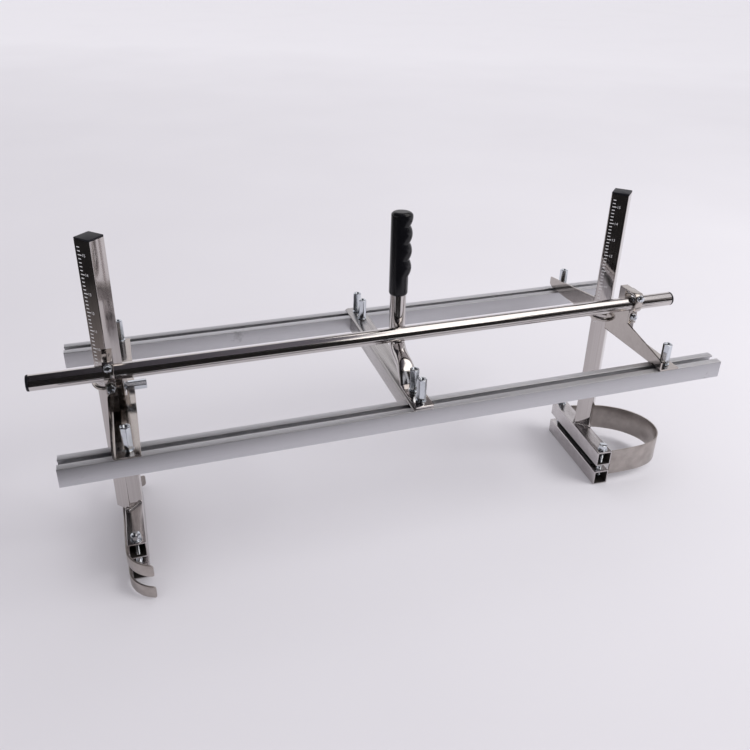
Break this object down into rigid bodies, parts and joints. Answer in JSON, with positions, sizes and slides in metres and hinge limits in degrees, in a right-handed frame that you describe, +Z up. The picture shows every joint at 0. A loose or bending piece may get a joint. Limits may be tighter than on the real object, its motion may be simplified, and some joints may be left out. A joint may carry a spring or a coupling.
{
  "type": "chainsaw mill",
  "caption": "Slab-cutting frame: slotted rails with sliding brackets, clamped depth posts, jaws for a saw's guide bar, a handlebar and a push handle.",
  "frame": {"origin": "on the ground, below the middle of the whole mill's bounding box", "axes": "+X along the rails from the saw side to the nose side, +Y from the handlebar side to the rear, +Z up"},
  "size_m": [0.944, 0.316, 0.4769],
  "materials": {
    "anodised_aluminium": "satin anodised extrusion",
    "polished_nickel": "bright nickel plate",
    "satin_nickel": "nickel plate over ground steel",
    "brushed_steel": "dull plated folded sheet",
    "zinc_steel": "bright zinc plate",
    "black_plastic": "moulded, satin",
    "grip_rubber": "dipped, semi-matt",
    "pad_rubber": "plain moulded"
  },
  "bodies": {
    "rails": {"front_rail": "anodised_aluminium", "rear_rail": "anodised_aluminium"},
    "saw_bracket_set": {"saw_bar_strap": "polished_nickel", "saw_bracket": "polished_nickel", "saw_front_long_nut": "zinc_steel", "saw_front_slot_bolt": "zinc_steel", "saw_front_u_bolt_nut": "zinc_steel", "saw_lower_clip_bolt": "zinc_steel", "saw_post_saddle": "polished_nickel", "saw_rear_long_nut": "zinc_steel", "saw_rear_slot_bolt": "zinc_steel", "saw_rear_u_bolt_nut": "zinc_steel", "saw_u_bolt": "polished_nickel", "saw_upper_clip_bolt": "zinc_steel"},
    "saw_post_set": {"saw_front_jaw_bolt": "zinc_steel", "saw_post": "polished_nickel", "saw_post_cap": "black_plastic", "saw_rear_jaw_bolt": "zinc_steel", "saw_upper_hook_strip": "satin_nickel", "saw_upper_jaw": "satin_nickel", "saw_upper_pad": "pad_rubber"},
    "saw_lower_jaw_set": {"saw_lower_hook_strip": "satin_nickel", "saw_lower_jaw": "satin_nickel", "saw_lower_pad": "pad_rubber"},
    "nose_bracket_set": {"nose_bar_strap": "polished_nickel", "nose_bracket": "polished_nickel", "nose_front_long_nut": "zinc_steel", "nose_front_slot_bolt": "zinc_steel", "nose_front_u_bolt_nut": "zinc_steel", "nose_lower_clip_bolt": "zinc_steel", "nose_post_saddle": "polished_nickel", "nose_rear_long_nut": "zinc_steel", "nose_rear_slot_bolt": "zinc_steel", "nose_rear_u_bolt_nut": "zinc_steel", "nose_u_bolt": "polished_nickel", "nose_upper_clip_bolt": "zinc_steel"},
    "nose_post_set": {"nose_front_jaw_bolt": "zinc_steel", "nose_guard": "satin_nickel", "nose_post": "polished_nickel", "nose_post_cap": "black_plastic", "nose_rear_jaw_bolt": "zinc_steel", "nose_upper_jaw": "satin_nickel", "nose_upper_pad": "pad_rubber"},
    "nose_lower_jaw_set": {"nose_lower_jaw": "satin_nickel", "nose_lower_pad": "pad_rubber"},
    "handlebar_set": {"handlebar": "polished_nickel", "left_bar_plug": "black_plastic", "right_bar_plug": "black_plastic"},
    "brace_set": {"brace_front_long_nut": "zinc_steel", "brace_front_slot_bolt": "zinc_steel", "brace_inner_bolt": "zinc_steel", "brace_inner_long_nut": "zinc_steel", "brace_rear_long_nut": "zinc_steel", "brace_rear_slot_bolt": "zinc_steel", "centre_brace": "brushed_steel", "handle_foot_bolt": "zinc_steel", "handle_foot_long_nut": "zinc_steel", "push_handle": "polished_nickel", "push_handle_grip": "grip_rubber"}
  },
  "joints": [
    {"name": "saw_bracket_slide", "type": "slide", "parent": "rails", "child": "saw_bracket_set", "axis": [1, 0, 0], "range_m": [-0.05, 0.18]},
    {"name": "nose_bracket_slide", "type": "slide", "parent": "rails", "child": "nose_bracket_set", "axis": [1, 0, 0], "range_m": [-0.2, 0.05]},
    {"name": "brace_slide", "type": "slide", "parent": "rails", "child": "brace_set", "axis": [1, 0, 0], "range_m": [-0.12, 0.1]},
    {"name": "handlebar_slide", "type": "slide", "parent": "saw_bracket_set", "child": "handlebar_set", "axis": [1, 0, 0], "range_m": [-0.05, 0.06]},
    {"name": "saw_depth_slide", "type": "slide", "parent": "saw_bracket_set", "child": "saw_post_set", "axis": [0, 0, 1], "range_m": [-0.15, 0.145]},
    {"name": "nose_depth_slide", "type": "slide", "parent": "nose_bracket_set", "child": "nose_post_set", "axis": [0, 0, 1], "range_m": [-0.15, 0.145]},
    {"name": "saw_jaw_slide", "type": "slide", "parent": "saw_post_set", "child": "saw_lower_jaw_set", "axis": [0, 0, 1], "range_m": [-0.006, 0.0045]},
    {"name": "nose_jaw_slide", "type": "slide", "parent": "nose_post_set", "child": "nose_lower_jaw_set", "axis": [0, 0, 1], "range_m": [-0.006, 0.0045]}
  ]
}
